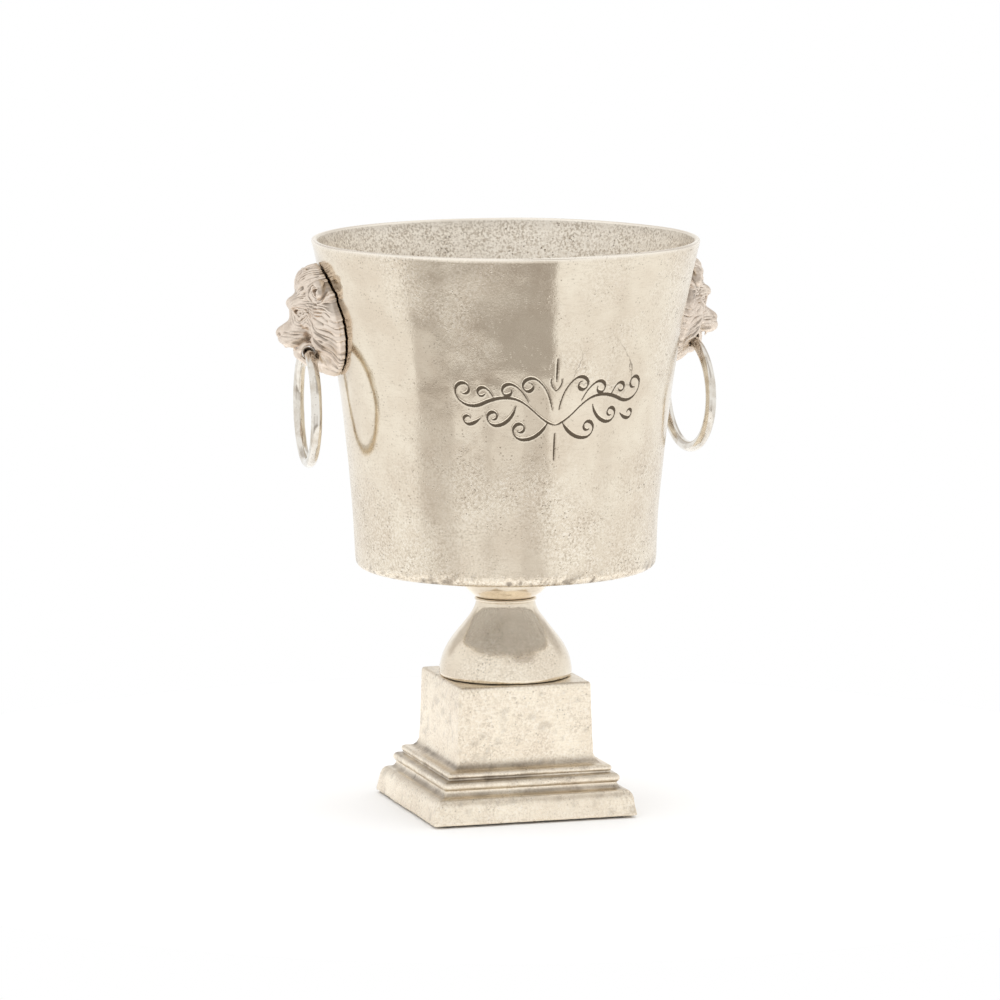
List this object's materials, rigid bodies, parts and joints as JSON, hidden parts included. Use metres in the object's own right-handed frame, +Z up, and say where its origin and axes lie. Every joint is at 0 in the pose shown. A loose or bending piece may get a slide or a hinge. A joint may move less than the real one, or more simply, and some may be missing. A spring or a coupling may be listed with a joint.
{
  "type": "champagne bucket",
  "caption": "Flared cast-metal champagne bucket on a bell-shaped stem and stepped square plinth, with lion-head mounts carrying swinging rings.",
  "frame": {"origin": "middle of the footprint, on the surface the foot pads stand on", "axes": "+Z up along the bowl's axis, +X towards the right ring, -Y towards the decorated front"},
  "size_m": [0.2979, 0.2492, 0.37],
  "materials": {
    "cast_nickel": "sand-cast aluminium, nickel plated, hand burnished",
    "cast_head_nickel": "sand-cast aluminium, nickel plated, darkened in the hollows",
    "polished_nickel": "nickel plated rod, polished",
    "plated_steel": "zinc plated fastener",
    "black_rubber": "moulded, matt"
  },
  "bodies": {
    "bucket": {"bowl": "cast_nickel", "collar": "cast_nickel", "stem": "cast_nickel", "plinth": "cast_nickel", "lion_head_left": "cast_head_nickel", "lion_head_right": "cast_head_nickel", "tie_rod": "plated_steel", "dome_nut": "plated_steel", "bowl_washer": "plated_steel", "bowl_seal": "black_rubber", "plinth_washer": "plated_steel", "lock_washer": "plated_steel", "hex_nut": "plated_steel", "head_screw_left_upper": "plated_steel", "head_screw_left_lower": "plated_steel", "head_screw_right_upper": "plated_steel", "head_screw_right_lower": "plated_steel", "head_seal_left_upper": "black_rubber", "head_seal_left_lower": "black_rubber", "head_seal_right_upper": "black_rubber", "head_seal_right_lower": "black_rubber", "foot_pad_front_left": "black_rubber", "foot_pad_front_right": "black_rubber", "foot_pad_rear_left": "black_rubber", "foot_pad_rear_right": "black_rubber"},
    "left_ring": {"ring_left": "polished_nickel"},
    "right_ring": {"ring_right": "polished_nickel"}
  },
  "joints": [
    {"name": "left_ring_swing", "type": "hinge", "parent": "bucket", "child": "left_ring", "pos_m": [-0.12829, 0.01348, 0.299], "axis": [0.1045, 0.9945, 0], "range_deg": [-17, 140]},
    {"name": "right_ring_swing", "type": "hinge", "parent": "bucket", "child": "right_ring", "pos_m": [0.12829, 0.01348, 0.299], "axis": [0.1045, -0.9945, 0], "range_deg": [-17, 140]}
  ]
}
